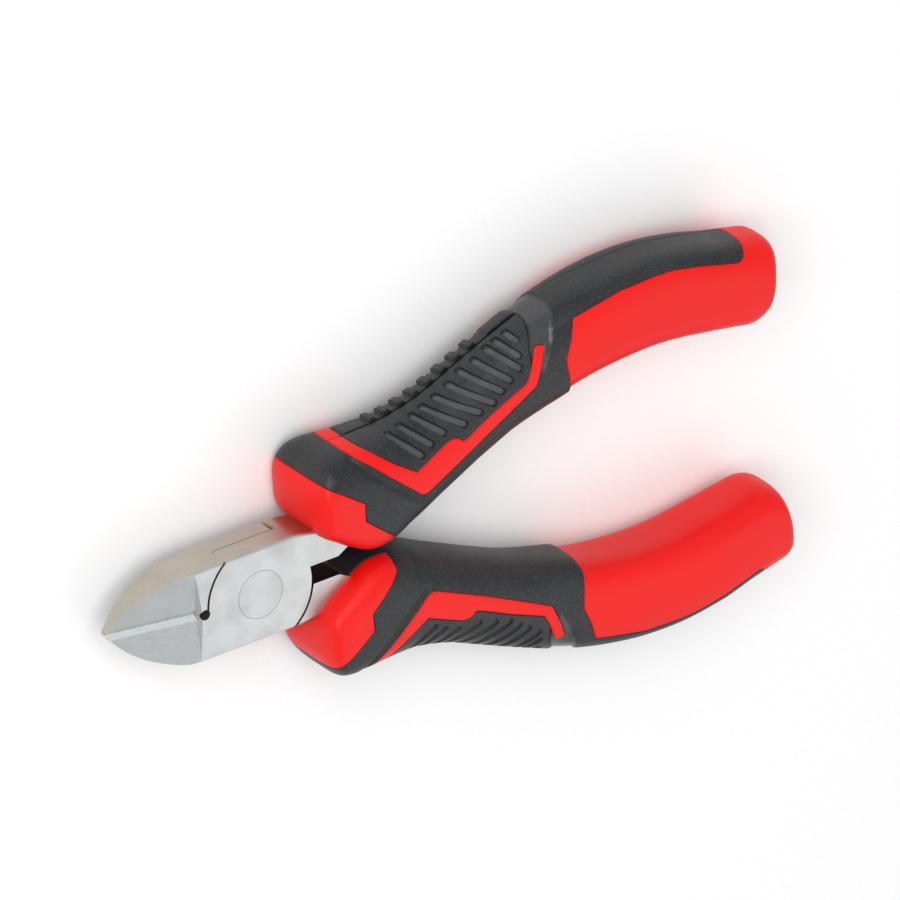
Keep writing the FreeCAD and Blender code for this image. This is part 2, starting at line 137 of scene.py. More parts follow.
def ring_stations():
    """Where the rings lie along the rails: dense on the pads and round the two ends."""
    spans = len(RING_STEPS)
    stations = []
    for span, full_steps in enumerate(RING_STEPS):
        steps = int(full_steps * DETAIL)
        stations += [(span + (i + 1) / steps) / spans for i in range(steps)]
    return np.concatenate([END_STATIONS, stations[:-1], 1 - END_STATIONS[::-1]])


def blunt(distance, shape):
    """Share of the full thickness at a distance from the end of the grip."""
    length, power = shape
    share = np.clip(distance / length, 0, 1)
    return (1 - (1 - share) ** power) ** (1 / power)


def quarter(power, count):
    """Points of a squared quarter curve at equal steps of arc, from face (1, 0) to edge (0, 1)."""
    turn = np.linspace(0, math.pi / 2, QUARTER_SAMPLES)
    face = np.cos(turn) ** (2 / power)
    edge = np.sin(turn) ** (2 / power)
    face[-1] = 0.0
    walk = np.concatenate([[0], np.cumsum(np.hypot(np.diff(face), np.diff(edge)))])
    at = np.linspace(0, walk[-1], count + 1)
    return np.interp(at, walk, face), np.interp(at, walk, edge)


def grip_grid():
    """Rings of points over the whole upper handle: array of ring, point, xyz."""
    stations = ring_stations()
    inner = rail_at(INNER_EDGE, stations)
    outer = rail_at(OUTER_EDGE, stations)
    middle = inner + LOW_SHARE * (outer - inner)
    nose_x, tail_x = INNER_EDGE[0][0], INNER_EDGE[-1][0]
    depth = table(DEPTHS, middle[:, 0])
    depth *= blunt(middle[:, 0] - nose_x, NOSE_BLUNT) * blunt(tail_x - middle[:, 0], TAIL_BLUNT)
    power = table(SQUARENESS, middle[:, 0])
    count = int(QUARTER_STEPS * DETAIL)
    rings = np.zeros((len(stations), 4 * count, 3))
    for i in range(len(stations)):
        face, edge = quarter(power[i], count)
        faces = np.concatenate([face[:-1], -face[::-1][:-1], -face[:-1], face[::-1][:-1]])
        edges = np.concatenate([edge[:-1], edge[::-1][:-1], edge[:-1], edge[::-1][:-1]])
        high = np.arange(4 * count) < 2 * count
        target = np.where(high[:, None], outer[i] - middle[i], inner[i] - middle[i])
        rings[i, :, :2] = middle[i] + target * edges[:, None]
        rings[i, :, 2] = depth[i] * faces
    return rings


# A point nearer to a cutting line than this counts as just above it.
ON_LINE = 1e-4


class Sheet:
    """Triangles with named point fields; pos and normal are three columns each."""

    def __init__(self, fields, tris):
        self.fields = fields
        self.tris = tris

    def __getitem__(self, name):
        return self.fields[name]

    def halved(self):
        """Every triangle split into four at the middles of its edges."""
        pairs = np.concatenate([self.tris[:, [0, 1]], self.tris[:, [1, 2]], self.tris[:, [2, 0]]])
        keys, index = np.unique(np.sort(pairs, 1), axis=0, return_inverse=True)
        ab, bc, ca = len(self["pos"]) + index.reshape(3, -1)
        a, b, c = self.tris.T
        fields = {name: np.concatenate([values, (values[keys[:, 0]] + values[keys[:, 1]]) / 2])
                  for name, values in self.fields.items()}
        corners = [(a, ab, ca), (ab, b, bc), (ca, bc, c), (ab, bc, ca)]
        return Sheet(fields, np.concatenate([np.stack(corner, 1) for corner in corners]))

    def cut(self, level, keep_low=False):
        """Split every triangle along level = 0; the low side is dropped unless keep_low."""
        level = np.where(np.abs(level) < ON_LINE, ON_LINE, level)
        above = level > 0
        side = above[self.tris].sum(1)
        whole = self.tris[side == 3]
        lows = self.tris[side == 0]
        mixed = self.tris[(side == 1) | (side == 2)]
        single = above[mixed].sum(1) == 1
        lone = np.where(single[:, None], above[mixed], ~above[mixed]).argmax(1)
        rolled = np.stack([mixed[np.arange(len(mixed)), (lone + k) % 3] for k in range(3)], 1)
        pairs = np.concatenate([rolled[:, [0, 1]], rolled[:, [0, 2]]])
        keys, index = np.unique(np.sort(pairs, 1), axis=0, return_inverse=True)
        index = index.reshape(-1)
        start = len(level)
        share = level[keys[:, 0]] / (level[keys[:, 0]] - level[keys[:, 1]])
        fields = {}
        for name, values in self.fields.items():
            part = share[:, None] if values.ndim == 2 else share
            crossing = values[keys[:, 0]] * (1 - part) + values[keys[:, 1]] * part
            fields[name] = np.concatenate([values, crossing])
        first = start + index[:len(rolled)]
        second = start + index[len(rolled):]
        tip = np.stack([rolled[:, 0], first, second], 1)
        base_a = np.stack([first, rolled[:, 1], rolled[:, 2]], 1)
        base_b = np.stack([first, rolled[:, 2], second], 1)
        high = [whole, tip[single], base_a[~single], base_b[~single]]
        low = [lows, tip[~single], base_a[single], base_b[single]]
        tris = np.concatenate(high + low if keep_low else high)
        used, tris = np.unique(tris, return_inverse=True)
        kept = {name: values[used] for name, values in fields.items()}
        return Sheet(kept, tris.reshape(-1, 3))


def grid_sheet(rings):
    """Closed sheet of triangles over the rings, with a pole at each end."""
    count, around = rings.shape[:2]
    pos = np.vstack([rings.reshape(-1, 3), rings[0].mean(0), rings[-1].mean(0)])
    ring = np.arange(count - 1)[:, None] * around
    here = np.arange(around)[None]
    after = (here + 1) % around
    a, b = (ring + here).ravel(), (ring + after).ravel()
    c, d = (ring + around + after).ravel(), (ring + around + here).ravel()
    tris = [np.stack([a, c, b], 1), np.stack([a, d, c], 1)]
    last = (count - 1) * around
    first_pole, last_pole = count * around, count * around + 1
    here, after = here[0], after[0]
    tris.append(np.stack([np.full(around, first_pole), here, after], 1))
    tris.append(np.stack([np.full(around, last_pole), last + after, last + here], 1))
    tris = np.concatenate(tris)
    sheet = Sheet({"pos": pos}, tris)
    sheet.fields["normal"] = point_normals(pos, tris)
    return sheet


def point_normals(pos, tris):
    """Outward unit normal of every point, from the triangles round it by their areas."""
    face = np.cross(pos[tris[:, 1]] - pos[tris[:, 0]], pos[tris[:, 2]] - pos[tris[:, 0]])
    total = np.zeros_like(pos)
    for corner in range(3):
        np.add.at(total, tris[:, corner], face)
    return total / np.maximum(np.linalg.norm(total, axis=1, keepdims=True), TINY)


def inside_distance(points, polygon):
    """Signed plan distance to a closed polygon, positive inside, and its direction of increase."""
    poly = np.array(polygon, float)
    best = np.full(len(points), np.inf)
    nearest = np.zeros((len(points), 2))
    inside = np.zeros(len(points), bool)
    for a, b in zip(poly, np.roll(poly, -1, 0)):
        along = b - a
        share = np.clip(((points - a) @ along) / (along @ along), 0, 1)
        foot = a + share[:, None] * along
        gap = np.linalg.norm(points - foot, axis=1)
        nearest[gap < best] = foot[gap < best]
        best = np.minimum(best, gap)
        crosses = (a[1] > points[:, 1]) != (b[1] > points[:, 1])
        reach = (b[0] - a[0]) * (points[:, 1] - a[1]) / (b[1] - a[1] + TINY) + a[0]
        inside ^= crosses & (points[:, 0] < reach)
    signed = np.where(inside, best, -best)
    return signed, (points - nearest) / np.where(np.abs(signed) < TINY, TINY, signed)[:, None]


# Least cosine of the surface's slope in a zone's direction that its distances allow for.
STEEPEST = 0.3


def zone_distance(sheet, polygon):
    """Distance along the surface into a plan zone, positive inside."""
    plan, direction = inside_distance(sheet["pos"][:, :2], polygon)
    slope = (sheet["normal"][:, :2] * direction).sum(1)
    return plan / np.sqrt(np.clip(1 - slope ** 2, STEEPEST ** 2, 1))


def path_distance(points, path):
    """Distance in space to a path of straight runs."""
    best = np.full(len(points), np.inf)
    for a, b in zip(path[:-1], path[1:]):
        along = b - a
        share = np.clip(((points - a) @ along) / max(along @ along, TINY), 0, 1)
        best = np.minimum(best, np.linalg.norm(points - a - share[:, None] * along, axis=1))
    return best


def step(value, low, high):
    """Smooth step from 0 at low to 1 at high."""
    share = np.clip((value - low) / (high - low), 0, 1)
    return share * share * (3 - 2 * share)


# ---------------------------------------------------------------- zones of the grip

# The lower handle is the upper one turned half round the X axis.
SIDES = {"upper": 1, "lower": -1}

# Plan outlines of the mouldings, x and y; the far corners lie well outside the grip.
NOSE_ZONE = [(24.6, -3.0), (24.1, 3.15), (18.2, 8.4), (18.35, 11.5), (14.6, 14.3), (10.7, 16.9),
             (6.0, 20.2), (6.0, 40.0), (-20.0, 40.0), (-20.0, -3.0)]
STRIPE_IN = [(16.4, 24.0), (19.9, 19.9), (21.6, 18.7), (25.0, 15.95), (28.9, 13.25), (35.4, 16.25),
             (36.6, 16.45), (37.5, 16.15), (38.2, 15.4), (39.15, 15.7), (45.0, 18.55), (51.3, 21.2),
             (52.4, 23.5), (53.6, 26.7)]
STRIPE_OUT = [(55.3, 26.4), (54.5, 23.6), (53.0, 19.95), (50.2, 18.45), (40.0, 13.25), (31.1, 9.05),
              (30.2, 8.7), (29.3, 9.1), (24.5, 13.4), (20.5, 17.1), (18.0, 19.25), (16.3, 20.6)]
PAD_ARC = [(52.5, 24.9), (52.6, 26.3), (53.3, 28.3), (54.0, 29.7), (54.8, 31.5), (55.5, 36.0)]
PAD_ZONE = STRIPE_IN[:-1] + PAD_ARC + [(16.4, 36.0)]
TAIL_EDGE = [(59.9, 8.0), (59.65, 17.6), (59.1, 20.4), (58.9, 22.6), (60.0, 25.3), (61.1, 29.1)]
TAIL_TOP = [(61.1, 29.1), (65.6, 30.0), (70.4, 30.95), (76.7, 31.2), (80.5, 31.05), (85.5, 30.1),
            (90.5, 28.7), (93.4, 27.9), (94.5, 28.4), (95.3, 29.6), (96.0, 31.2), (96.8, 45.0)]
TAIL_ZONE = TAIL_EDGE + TAIL_TOP[1:] + [(120.0, 45.0), (120.0, 8.0)]
BAND_ARC = [(56.2, 24.5), (56.9, 26.6), (57.8, 28.9), (58.7, 30.85), (59.5, 32.5), (62.0, 38.0)]
TAIL_SPINE_ZONE = BAND_ARC[1:] + [(96.8, 45.0)] + TAIL_TOP[::-1][1:] + [(60.3, 26.3)]
GLOSS_ZONE = PAD_ARC[::-1] + [(53.6, 22.5), (54.6, 21.5)] + BAND_ARC
# Ridged strip behind the crown: height of its middle, half width, its ends in x and its least y.
SPINE = {"middle": -1.775, "half": 1.425, "start": 20.3, "end": 54.2, "floor": 15.0}
# Black strip on the inner face of the nose, where the two noses shade each other: a painted shade,
# made by leaving this part of the surface to the black soft grip.
NOSE_SHADE_STRIP = {"half": 3.6, "start": 13.5, "top": 8.5}

# Slots of the side pads: upper and lower end of each in plan.
SLOTS = [((26.2, 19.6), (30.3, 15.5)), ((28.8, 20.0), (32.4, 16.7)), ((31.5, 20.7), (35.0, 17.8)),
         ((33.7, 21.4), (38.9, 18.0)), ((36.3, 22.3), (42.0, 19.0)), ((39.0, 23.5), (44.7, 19.8)),
         ((41.6, 24.8), (46.5, 21.2)), ((44.3, 25.9), (48.3, 22.5)), ((46.9, 27.1), (50.3, 23.9)),
         ((48.7, 27.8), (50.7, 25.8)), ((50.7, 28.6), (51.3, 27.9))]
SLOT = {"half": 0.68, "wall": 0.2, "depth": 0.6}
RIDGES = {"count": 8, "start": 26.1, "pitch": 2.8, "half": 0.78, "wall": 0.3, "height": 0.62}
# Block that ends the ridged strip: where it rises, where it falls again, and its height.
BLOCK = {"rise": (48.2, 49.0), "fall": (53.0, 54.2), "height": 0.35}
# Groove in the soft grip between the nose guard and the stripe: its path in plan, the distances
# from the path between which its wall rises, and its depth.
GROOVE = [(17.2, 18.9), (20.0, 16.2), (24.4, 12.3), (29.4, 8.2)]
GROOVE_WIDTH = (0.15, 1.0)
GROOVE_DEPTH = 0.42
# Swelling of the soft grip towards the tail, where its surface faces the other handle.
COLLAR = {"x": (48.0, 59.5), "facing": (0.0, 0.8), "height": 0.5}
# The polished band is a little sunk, on the outer side of the grip only.
BAND = {"edge": (0.0, 0.4), "y": (24.5, 28.0), "depth": 0.35}
# Parting line along the tail's inlay: its height, the distances from its middle between which
# its wall rises, and its depth.
PARTING = {"level": -2.0, "width": (0.05, 0.3), "depth": 0.16}
EDGE_RADIUS = 0.2
# Distances from a moulding's edge at which it gets edge lines.
EDGE_LINES = (0.04, 0.1, EDGE_RADIUS)
# Thickness of a moulding below the grip surface.
SKIN = 1.15


def base_sheet(turn):
    """Grip surface with the signed distance of every point into each moulding. The turn is 1
    for the upper handle and -1 for the lower one, whose front is the other side's back."""
    sheet = grid_sheet(grip_grid())
    x, y, z = sheet["pos"].T
    level = z * turn
    spine = np.minimum.reduce([SPINE["half"] - np.abs(level - SPINE["middle"]),
                               x - SPINE["start"], SPINE["end"] - x, y - SPINE["floor"]])
    nose_shade_strip = np.minimum.reduce([NOSE_SHADE_STRIP["half"] - np.abs(z), x - NOSE_SHADE_STRIP["start"], NOSE_SHADE_STRIP["top"] - y])
    stripe = np.minimum(zone_distance(sheet, STRIPE_IN + STRIPE_OUT), -spine)
    pad = np.minimum(zone_distance(sheet, PAD_ZONE), -spine)
    # The nose guard leaves its strip of painted shade to the soft grip.
    nose = np.minimum(zone_distance(sheet, NOSE_ZONE), -nose_shade_strip)
    tail = zone_distance(sheet, TAIL_ZONE)
    tail_spine = np.minimum(zone_distance(sheet, TAIL_SPINE_ZONE), -tail)
    around = -np.maximum.reduce([spine, stripe, pad, nose, tail])
    sheet.fields.update({
        "ridged_spine": spine, "nose_guard": nose, "tail_shell": tail, "tail_spine": tail_spine,
        "front_stripe": np.minimum(stripe, level), "back_stripe": np.minimum(stripe, -level),
        "front_pad": np.minimum(pad, level), "back_pad": np.minimum(pad, -level),
        "soft_grip": np.minimum(around, -tail_spine), "around": around, "off_tail": -tail,
        "gloss": zone_distance(sheet, GLOSS_ZONE), "level": level,
    })
    return sheet


def folded(sheet):
    """Points of a sheet with its back half turned on to the front."""
    return np.column_stack([sheet["pos"][:, :2], np.abs(sheet["pos"][:, 2])])


# Points to a straight run of a path, and the nearest points that give the height of each.
PATH_STEPS = 9
NEIGHBOURS = 16


def on_surface(sheet, plan_points):
    """Path over the sheet above the straight runs between plan points. The height of each of
    its points is that of the plane that fits the nearest points of the sheet."""
    plan = np.array(plan_points, float)
    shares = np.linspace(0, 1, PATH_STEPS)
    spots = [a + (b - a) * share for a, b in zip(plan, plan[1:]) for share in shares]
    pos = folded(sheet)
    path = []
    for spot in spots:
        gaps = ((pos[:, :2] - spot) ** 2).sum(1)
        near = pos[np.argpartition(gaps, NEIGHBOURS)[:NEIGHBOURS]]
        plane = np.column_stack([np.ones(NEIGHBOURS), near[:, :2] - spot])
        height = np.linalg.lstsq(plane, near[:, 2], rcond=None)[0][0]
        path.append((*spot, height))
    return np.array(path)


def cut_lines(sheet, name, levels):
    """Give the sheet an edge line along each level of one field."""
    for level in levels:
        sheet = sheet.cut(sheet[name] - level, keep_low=True)
    return sheet


def with_slots(sheet, whole):
    """Add the distance to the nearest slot, with edge lines at the top and foot of its wall."""
    sheet = sheet.halved()
    pos = folded(sheet)
    gaps = [path_distance(pos, on_surface(whole, slot)) for slot in SLOTS]
    sheet.fields["slot"] = np.minimum.reduce(gaps)
    return cut_lines(sheet, "slot", (SLOT["half"], SLOT["half"] - SLOT["wall"]))


def with_ridges(sheet):
    """Add the distance to the nearest ridge, with edge lines at the foot, middle and top of
    its wall."""
    centres = RIDGES["start"] + RIDGES["pitch"] * np.arange(RIDGES["count"])
    sheet.fields["ridge"] = np.abs(sheet["pos"][:, 0][:, None] - centres).min(1)
    half, wall = RIDGES["half"], RIDGES["wall"]
    return cut_lines(sheet, "ridge", (half, half - wall / 2, half - wall))


# The soft grip and the tail's inlay run into each other. Their edges are rounded only against
# the other mouldings, so the distance to those edges comes from another field.
RIM = {"soft_grip": "around", "tail_spine": "off_tail"}


def rim_field(kind):
    """Field that holds the distance to the rounded edge of a moulding."""
    return RIM.get(kind, kind)


def round_edge(distance, radius):
    """Drop below the surface near a moulding's edge: a quarter circle."""
    share = 1 - np.clip(distance / radius, 0, 1)
    return -radius * (1 - np.sqrt(1 - share ** 2))


def relief(sheet, kind):
    """Height of each point above the plain grip surface, by moulding."""
    x, y = sheet["pos"][:, 0], sheet["pos"][:, 1]
    high = round_edge(sheet[rim_field(kind)], EDGE_RADIUS)
    if kind.endswith("pad"):
        into = (SLOT["half"] - sheet["slot"]) / SLOT["wall"]
        high = high - SLOT["depth"] * np.clip(into, 0, 1)
    if kind == "ridged_spine":
        high = high + RIDGES["height"] * step(RIDGES["half"] - sheet["ridge"], 0, RIDGES["wall"])
        high = high + BLOCK["height"] * step(x, *BLOCK["rise"]) * (1 - step(x, *BLOCK["fall"]))
    if kind == "soft_grip":
        high = high - GROOVE_DEPTH * (1 - step(sheet["groove"], *GROOVE_WIDTH))
        inward = step(-sheet["normal"][:, 1], *COLLAR["facing"])
        high = high + COLLAR["height"] * step(x, *COLLAR["x"]) * inward
        high = high - BAND["depth"] * step(sheet["gloss"], *BAND["edge"]) * step(y, *BAND["y"])
    if kind == "tail_spine":
        off_parting = np.abs(sheet["level"] - PARTING["level"])
        high = high - PARTING["depth"] * (1 - step(off_parting, *PARTING["width"]))
    return high


# ---------------------------------------------------------------- grip pieces

# Distances over which these change: the painted shade of a moulding's edge, the gloss and
# painted sheen of the polished band, the painted shade of the band's rim and that of the groove.
EDGE_SHADE = (0.0, 0.35)
GLOSS_SHADE = (0.0, 0.5)
CREASE_SHADE = (0.05, 0.3)
GROOVE_SHADE = (0.1, 1.0)
# The rim's painted shade comes in over this stretch of y, and the groove's painted shade is this
# strong.
CREASE_Y = (24.0, 26.5)
GROOVE_DARKNESS = 0.8
# Edges sharper than this, in degrees, stay sharp in the shading.
SHARP_ANGLE = 42


def moulding(sheet, kind):
    """The part of the grip surface that one moulding shows, with its own edge lines."""
    part = sheet.cut(sheet[kind])
    part = cut_lines(part, rim_field(kind), EDGE_LINES)
    if kind.endswith("pad"):
        part = with_slots(part, sheet)
    if kind == "ridged_spine":
        part = with_ridges(part)
    if kind == "soft_grip":
        part.fields["groove"] = path_distance(folded(part), on_surface(sheet, GROOVE))
    return part


def closed_shell(outer, inner, tris):
    """Points and faces of a closed shell between two surfaces with the same triangles."""
    edges = np.concatenate([tris[:, [0, 1]], tris[:, [1, 2]], tris[:, [2, 0]]])
    size = len(outer)
    keys = edges[:, 0] * size + edges[:, 1]
    back_keys = edges[:, 1] * size + edges[:, 0]
    rim = edges[~np.isin(keys, back_keys)]
    faces = tris.tolist() + (tris[:, ::-1] + size).tolist()
    faces += np.stack([rim[:, 1], rim[:, 0], rim[:, 0] + size, rim[:, 1] + size], 1).tolist()
    return np.vstack([outer, inner]), faces


def add_attribute(mesh, name, values):
    """Store one number for each point, for the materials to read."""
    layer = mesh.attributes.new(name, "FLOAT", "POINT")
    layer.data.foreach_set("value", np.asarray(values, np.float32))


def make_piece(node, kind, sheet, side, material):
    """One visible moulding, riding on its half of the pliers in place of its CAD node."""
    height = relief(sheet, kind)[:, None]
    outer = sheet["pos"] + sheet["normal"] * height
    inner = sheet["pos"] - sheet["normal"] * SKIN
    points, faces = closed_shell(outer, inner, sheet.tris)
    points = points * (1, SIDES[side], SIDES[side])
    mesh = bpy.data.meshes.new(node + "_moulding")
    mesh.from_pydata(((points + (0, 0, MID_Z)) * MM).tolist(), [], faces)
    mesh.materials.append(material)
    # The gloss and slot attributes set roughness, and carry the painted sheen of the polished band
    # and of the slot floors and the painted shade of the slot walls.
    slot_shade = (SLOT["half"], SLOT["half"] - SLOT["wall"])
    for name, limits in (("gloss", GLOSS_SHADE), ("slot", slot_shade)):
        values = step(sheet[name], *limits) if name in sheet.fields else np.zeros(len(outer))
        add_attribute(mesh, name, np.concatenate([values, values]))
    # The edge attribute is painted shade: strongest at a moulding's rounded edge, along the rim of
    # the polished band and in the groove, and full on the inner skin.
    edge = 1 - step(sheet[rim_field(kind)], *EDGE_SHADE)
    if kind in RIM:
        crease = 1 - step(np.abs(sheet["gloss"]), *CREASE_SHADE)
        edge = np.maximum(edge, crease * step(sheet["pos"][:, 1], *CREASE_Y))
    if "groove" in sheet.fields:
        groove = 1 - step(sheet["groove"], *GROOVE_SHADE)
        edge = np.maximum(edge, GROOVE_DARKNESS * groove)
    add_attribute(mesh, "edge", np.concatenate([edge, np.ones_like(edge)]))
    mesh.shade_smooth()
    mesh.set_sharp_from_angle(angle=math.radians(SHARP_ANGLE))
    piece = bpy.data.objects.new(node + "_moulding", mesh)
    bpy.context.scene.collection.objects.link(piece)
    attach(piece, side + "_half")
    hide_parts(node)


# ---------------------------------------------------------------- materials

def linear(red, green, blue):
    """Linear colour from ordinary 0 to 255 values."""
    return tuple(((v / 255 + 0.055) / 1.055) ** 2.4 for v in (red, green, blue)) + (1.0,)


class Shader:
    """A material whose nodes are added one at a time."""

    def __init__(self, name):
        self.material = bpy.data.materials.new(name)
        self.material.use_nodes = True
        self.tree = self.material.node_tree
        self.base = self.tree.nodes["Principled BSDF"]

    def node(self, kind, inputs=None, **settings):
        made = self.tree.nodes.new(kind)
        for key, value in settings.items():
            setattr(made, key, value)
        for key, value in (inputs or {}).items():
            self.feed(made.inputs[key], value)
        return made

    def feed(self, socket, value):
        if isinstance(value, bpy.types.NodeSocket):
            self.tree.links.new(value, socket)
        else:
            socket.default_value = value

    def coordinates(self, scale=(1.0, 1.0, 1.0)):
        where = self.node("ShaderNodeTexCoord").outputs["Object"]
        return self.node("ShaderNodeMapping", {"Vector": where, "Scale": scale}).outputs["Vector"]

    def noise(self, scale, detail, roughness=0.5, where=None):
        inputs = {"Scale": scale, "Detail": detail, "Roughness": roughness}
        inputs["Vector"] = where or self.coordinates()
        return self.node("ShaderNodeTexNoise", inputs).outputs["Fac"]

    def spread(self, value, low, high, to_low, to_high):
        """Carry values from one range to another and hold them at its ends."""
        inputs = {"Value": value, "From Min": low, "From Max": high, "To Min": to_low,
                  "To Max": to_high}
        return self.node("ShaderNodeMapRange", inputs).outputs["Result"]

    def mix(self, share, first, second):
        """Blend of two colours. Sockets 6 and 7 in and 2 out are the mix node's colours."""
        mixer = self.node("ShaderNodeMix", {0: share, 6: first, 7: second}, data_type="RGBA")
        return mixer.outputs[2]

    def math(self, operation, first, second):
        return self.node("ShaderNodeMath", {0: first, 1: second}, operation=operation).outputs[0]

    def attribute(self, name):
        return self.node("ShaderNodeAttribute", attribute_name=name).outputs["Fac"]

    def bump(self, height, distance, strength, under=None):
        inputs = {"Height": height, "Distance": distance, "Strength": strength}
        if under:
            inputs["Normal"] = under
        return self.node("ShaderNodeBump", inputs).outputs["Normal"]

    def set(self, **sockets):
        """Give sockets of the surface their values; an underscore stands for a space."""
        for name, value in sockets.items():
            self.feed(self.base.inputs[name.replace("_", " ")], value)


def red_plastic():
    """Moulded red plastic: even colour, faint flow marks, a slight orange peel and painted shade
    towards the moulding's edges.
    """
    shader = Shader("moulded_red")
    flow = shader.noise(60.0, 3.0)
    colour = shader.mix(shader.spread(flow, 0.3, 0.7, 0.0, 1.0), linear(228, 10, 8),
                        linear(235, 14, 11))
    # Painted shade: a darker red towards the moulding's edges, from the edge attribute.
    colour = shader.mix(shader.math("MULTIPLY", shader.attribute("edge"), 0.35), colour,
                        linear(170, 16, 14))
    peel = shader.bump(shader.noise(1400.0, 2.0), 0.00002, 0.35)
    shader.set(Base_Color=colour, Roughness=shader.spread(flow, 0.3, 0.7, 0.4, 0.48),
               Specular_IOR_Level=0.32, Normal=peel)
    return shader.material


# Colours of the soft black pieces: the painted shade of their edges and slot walls, the grain's
# high spots, and the painted sheen of the slot floors and of the polished band.
DARK = linear(14, 14, 15)
GRAIN_TOPS = linear(84, 86, 88)
SLOT_FLOOR_SHEEN = linear(84, 87, 88)
BAND_SHEEN = linear(96, 98, 98)


def soft_black(name, base, light, rough_low, rough_high):
    """Black thermoplastic rubber: spark-eroded grain, with glossy bands where polished; painted
    shade at its edges, in the groove and on slot walls, and painted sheen on slot floors and the
    band.
    """
    shader = Shader(name)
    cloud = shader.noise(90.0, 4.0, 0.6)
    grain = shader.noise(3000.0, 3.0, 0.6)
    colour = shader.mix(shader.spread(cloud, 0.35, 0.65, 0.0, 1.0), base, light)
    colour = shader.mix(shader.spread(grain, 0.52, 0.72, 0.0, 0.4), colour, GRAIN_TOPS)
    # Painted shade at the edges, along the band's rim and in the groove.
    colour = shader.mix(shader.math("MULTIPLY", shader.attribute("edge"), 0.5), colour, DARK)
    slot = shader.attribute("slot")
    floor = shader.math("MULTIPLY", slot, 0.75)
    # Painted shade, darkest half-way down a slot's wall: 2.4 times slot times (1 - slot).
    off_floor = shader.math("SUBTRACT", 2.4, shader.math("MULTIPLY", slot, 2.4))
    wall = shader.math("MULTIPLY", slot, off_floor)
    # Painted sheen lightens the slot floors.
    colour = shader.mix(floor, colour, SLOT_FLOOR_SHEEN)
    # Painted sheen lightens the polished band.
    colour = shader.mix(shader.math("MULTIPLY", shader.attribute("gloss"), 0.3), colour, BAND_SHEEN)
    # Painted shade on the slot walls.
    colour = shader.mix(wall, colour, DARK)
    polished = shader.math("MAXIMUM", shader.attribute("gloss"), slot)
    matte = shader.spread(cloud, 0.3, 0.7, rough_low, rough_high)
    rough = shader.mix(polished, matte, (0.24, 0.24, 0.24, 1.0))
    strength = shader.spread(polished, 0.0, 1.0, 0.7, 0.05)
    surface = shader.bump(grain, 0.00008, strength)
    shader.set(Base_Color=colour, Roughness=rough, Normal=surface)
    return shader.material


# Painted dark lines on the levers' steel and painted shade between the tangs, in metres: the
# radius of the line round the rivet, and the distances over which each line or the shade fades or
# starts.
RIVET_RADIUS = 0.00412
RING_FADE = (0.00003, 0.00016)
LAP_FADE = (0.00005, 0.00013)
LAP_END = (0.0098, 0.0099)
GAP_SHADE_FADE = (0.0020, 0.0024)
GAP_SHADE_START = (0.0072, 0.0076)


def lever_lines_and_gap_shade(shader, place, facing):
    """Strength of the paint round the rivet and along the lap line, and of the painted shade between
    the tangs.
    """
    across = shader.node("ShaderNodeCombineXYZ", {"X": place.outputs["X"], "Y": place.outputs["Y"]})
    length = shader.node("ShaderNodeVectorMath", {0: across.outputs[0]}, operation="LENGTH")
    radius = length.outputs["Value"]
    off_ring = shader.math("ABSOLUTE", shader.math("SUBTRACT", radius, RIVET_RADIUS), 0.0)
    ring = shader.spread(off_ring, *RING_FADE, 0.4, 0.0)
    off_lap = shader.math("ABSOLUTE", shader.math("SUBTRACT", place.outputs["Z"], MID_Z * MM), 0.0)
    lap = shader.math("MULTIPLY", shader.spread(off_lap, *LAP_FADE, 0.85, 0.0),
                      shader.spread(radius, *LAP_END, 1.0, 0.0))
    # Painted shade between the tangs, strongest near the middle of the gap.
    off_middle = shader.math("ABSOLUTE", place.outputs["Y"], 0.0)
    gap = shader.math("MULTIPLY", shader.spread(off_middle, *GAP_SHADE_FADE, 0.9, 0.0),
                      shader.spread(place.outputs["X"], *GAP_SHADE_START, 0.0, 1.0))
    # The lap line and the painted shade between the tangs show on upright faces, not on the flat
    # ones.
    upright = shader.spread(facing, 0.3, 0.6, 1.0, 0.0)
    shade = shader.math("MULTIPLY", shader.math("MAXIMUM", lap, gap), upright)
    return shader.math("MAXIMUM", ring, shade)


